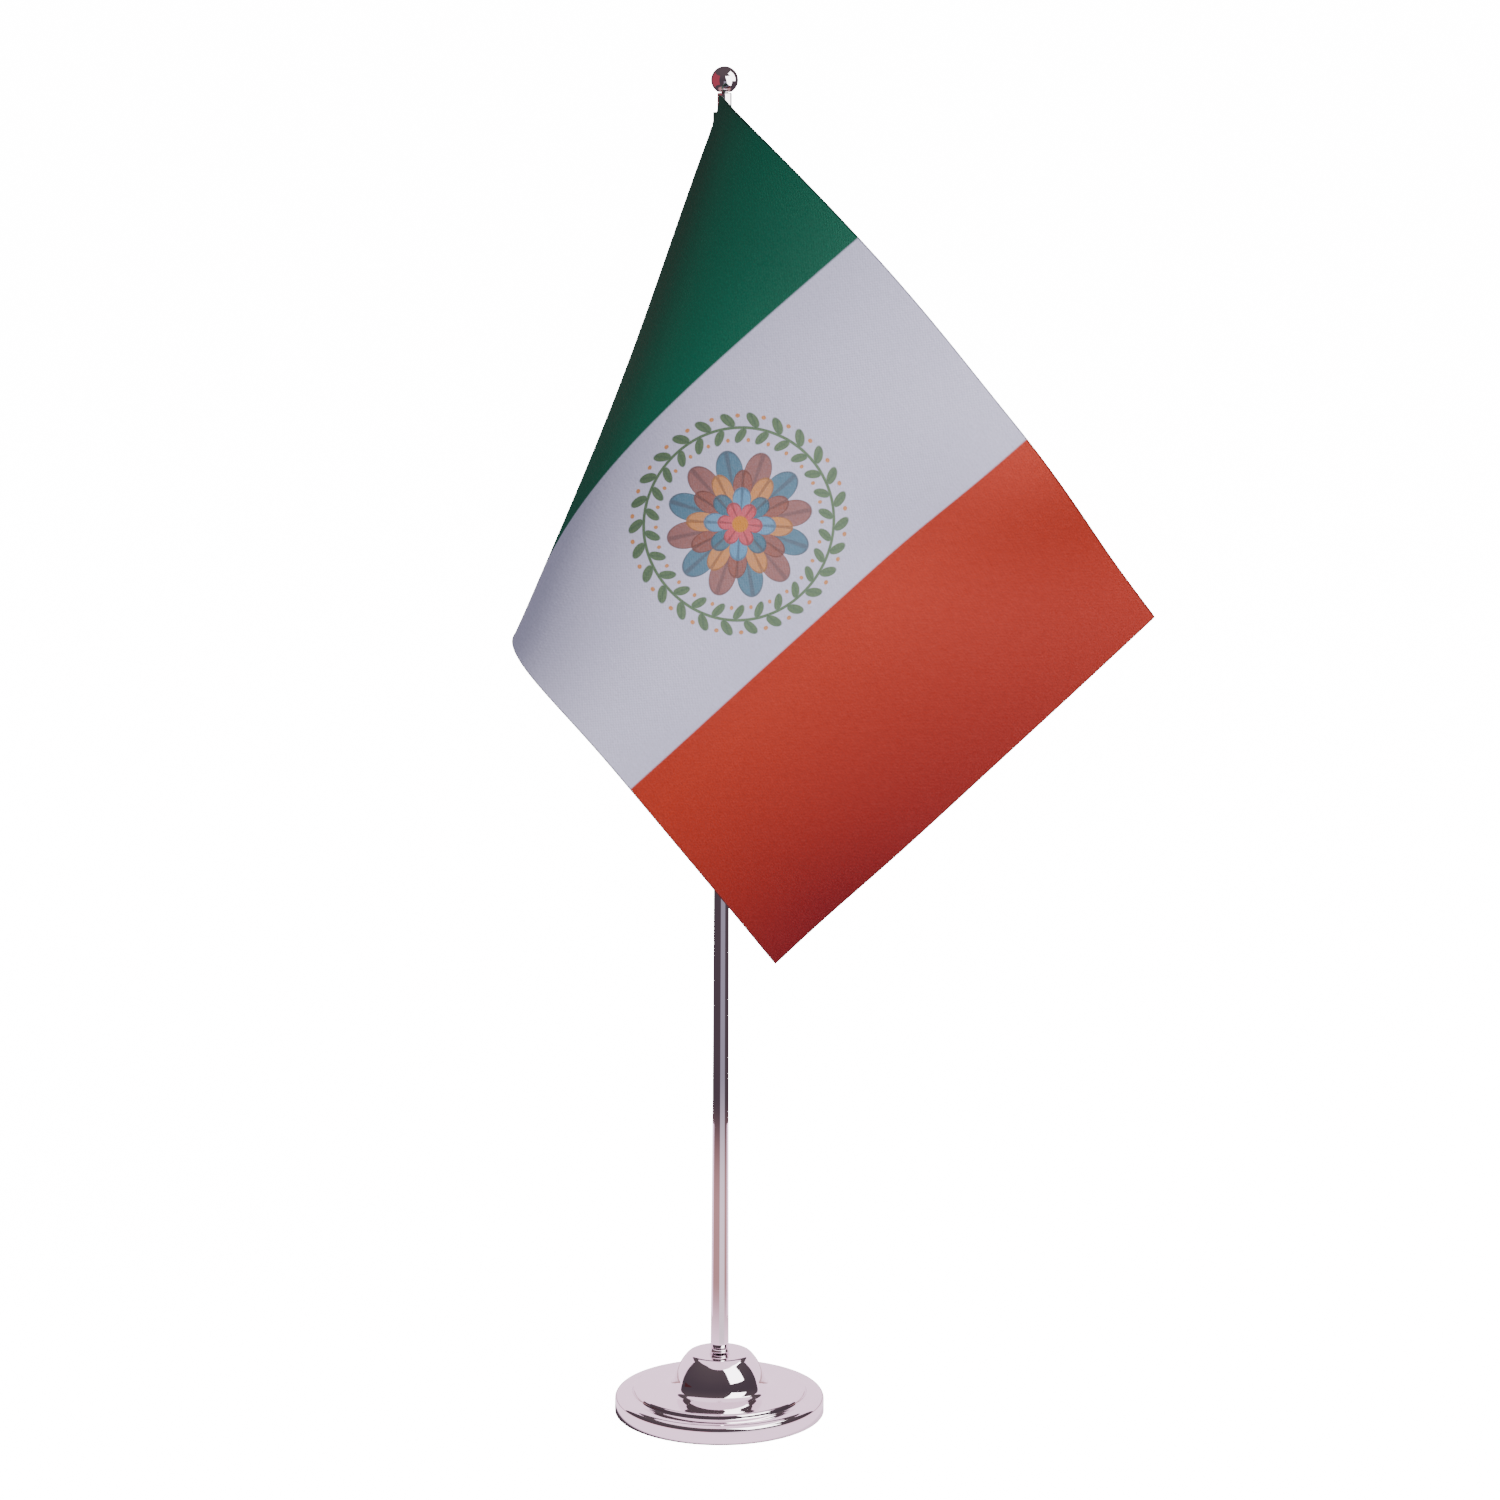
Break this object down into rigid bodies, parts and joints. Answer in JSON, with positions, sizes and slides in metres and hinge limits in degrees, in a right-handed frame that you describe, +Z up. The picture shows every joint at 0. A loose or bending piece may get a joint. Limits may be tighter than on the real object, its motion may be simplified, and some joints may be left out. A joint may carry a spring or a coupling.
{
  "type": "desk flag stand",
  "caption": "Weighted round chrome base with a tapered rod, ball finial and a small tricolour hand flag that turns and slides on the rod.",
  "frame": {"origin": "centre of the felt underside of the base, on the rod's axis", "axes": "+Z up the rod; -Y towards the side the flag is seen from; +X to the right of that view"},
  "size_m": [0.1728, 0.1118, 0.383],
  "materials": {
    "chrome_plate": "polished plated metal with a faint rosy tint",
    "plain_steel": "zinc-plated fasteners",
    "cast_weight": "raw casting",
    "backing_board": "pressed board",
    "felt": "dense dark felt",
    "rubber": "soft rubber",
    "satin_cloth": "printed satin polyester in green, white and red bands",
    "satin_hoist": "green satin polyester"
  },
  "bodies": {
    "base": {"felt_pad": "felt", "backing_disc": "backing_board", "ballast_weight": "cast_weight", "base_cover": "chrome_plate", "captive_nut": "plain_steel", "spring_washer": "plain_steel"},
    "foot_ring": {"foot_ring": "chrome_plate"},
    "rod": {"base_stud": "plain_steel", "tapered_rod": "chrome_plate"},
    "stop_ring": {"stop_ring": "rubber"},
    "flag": {"hoist_sleeve": "satin_hoist", "flag_cloth": "satin_cloth"},
    "finial_stud": {"finial_stud": "plain_steel"},
    "finial": {"finial_ball": "chrome_plate"}
  },
  "joints": [
    {"name": "rod_lift", "type": "slide", "parent": "base", "child": "foot_ring", "axis": [0, 0, 1], "range_m": [0, 0.0025]},
    {"name": "rod_turn", "type": "hinge", "parent": "foot_ring", "child": "rod", "pos_m": [0, 0, 0.02], "axis": [0, 0, 1], "range_deg": [0, 1800]},
    {"name": "flag_height", "type": "slide", "parent": "rod", "child": "stop_ring", "axis": [0, 0, 1], "range_m": [-0.11, 0]},
    {"name": "flag_swivel", "type": "hinge", "parent": "stop_ring", "child": "flag", "pos_m": [0, 0, 0.2356], "axis": [0, 0, 1], "continuous": true},
    {"name": "finial_lift", "type": "slide", "parent": "rod", "child": "finial_stud", "axis": [0, 0, 1], "range_m": [0, 0.0032]},
    {"name": "finial_turn", "type": "hinge", "parent": "finial_stud", "child": "finial", "pos_m": [0, 0, 0.3793], "axis": [0, 0, 1], "range_deg": [0, 2880]}
  ],
  "couplings": [
    {"joint": "rod_turn", "follows": "rod_lift", "rad_per_m": 12566},
    {"joint": "finial_turn", "follows": "finial_lift", "rad_per_m": 15708}
  ]
}
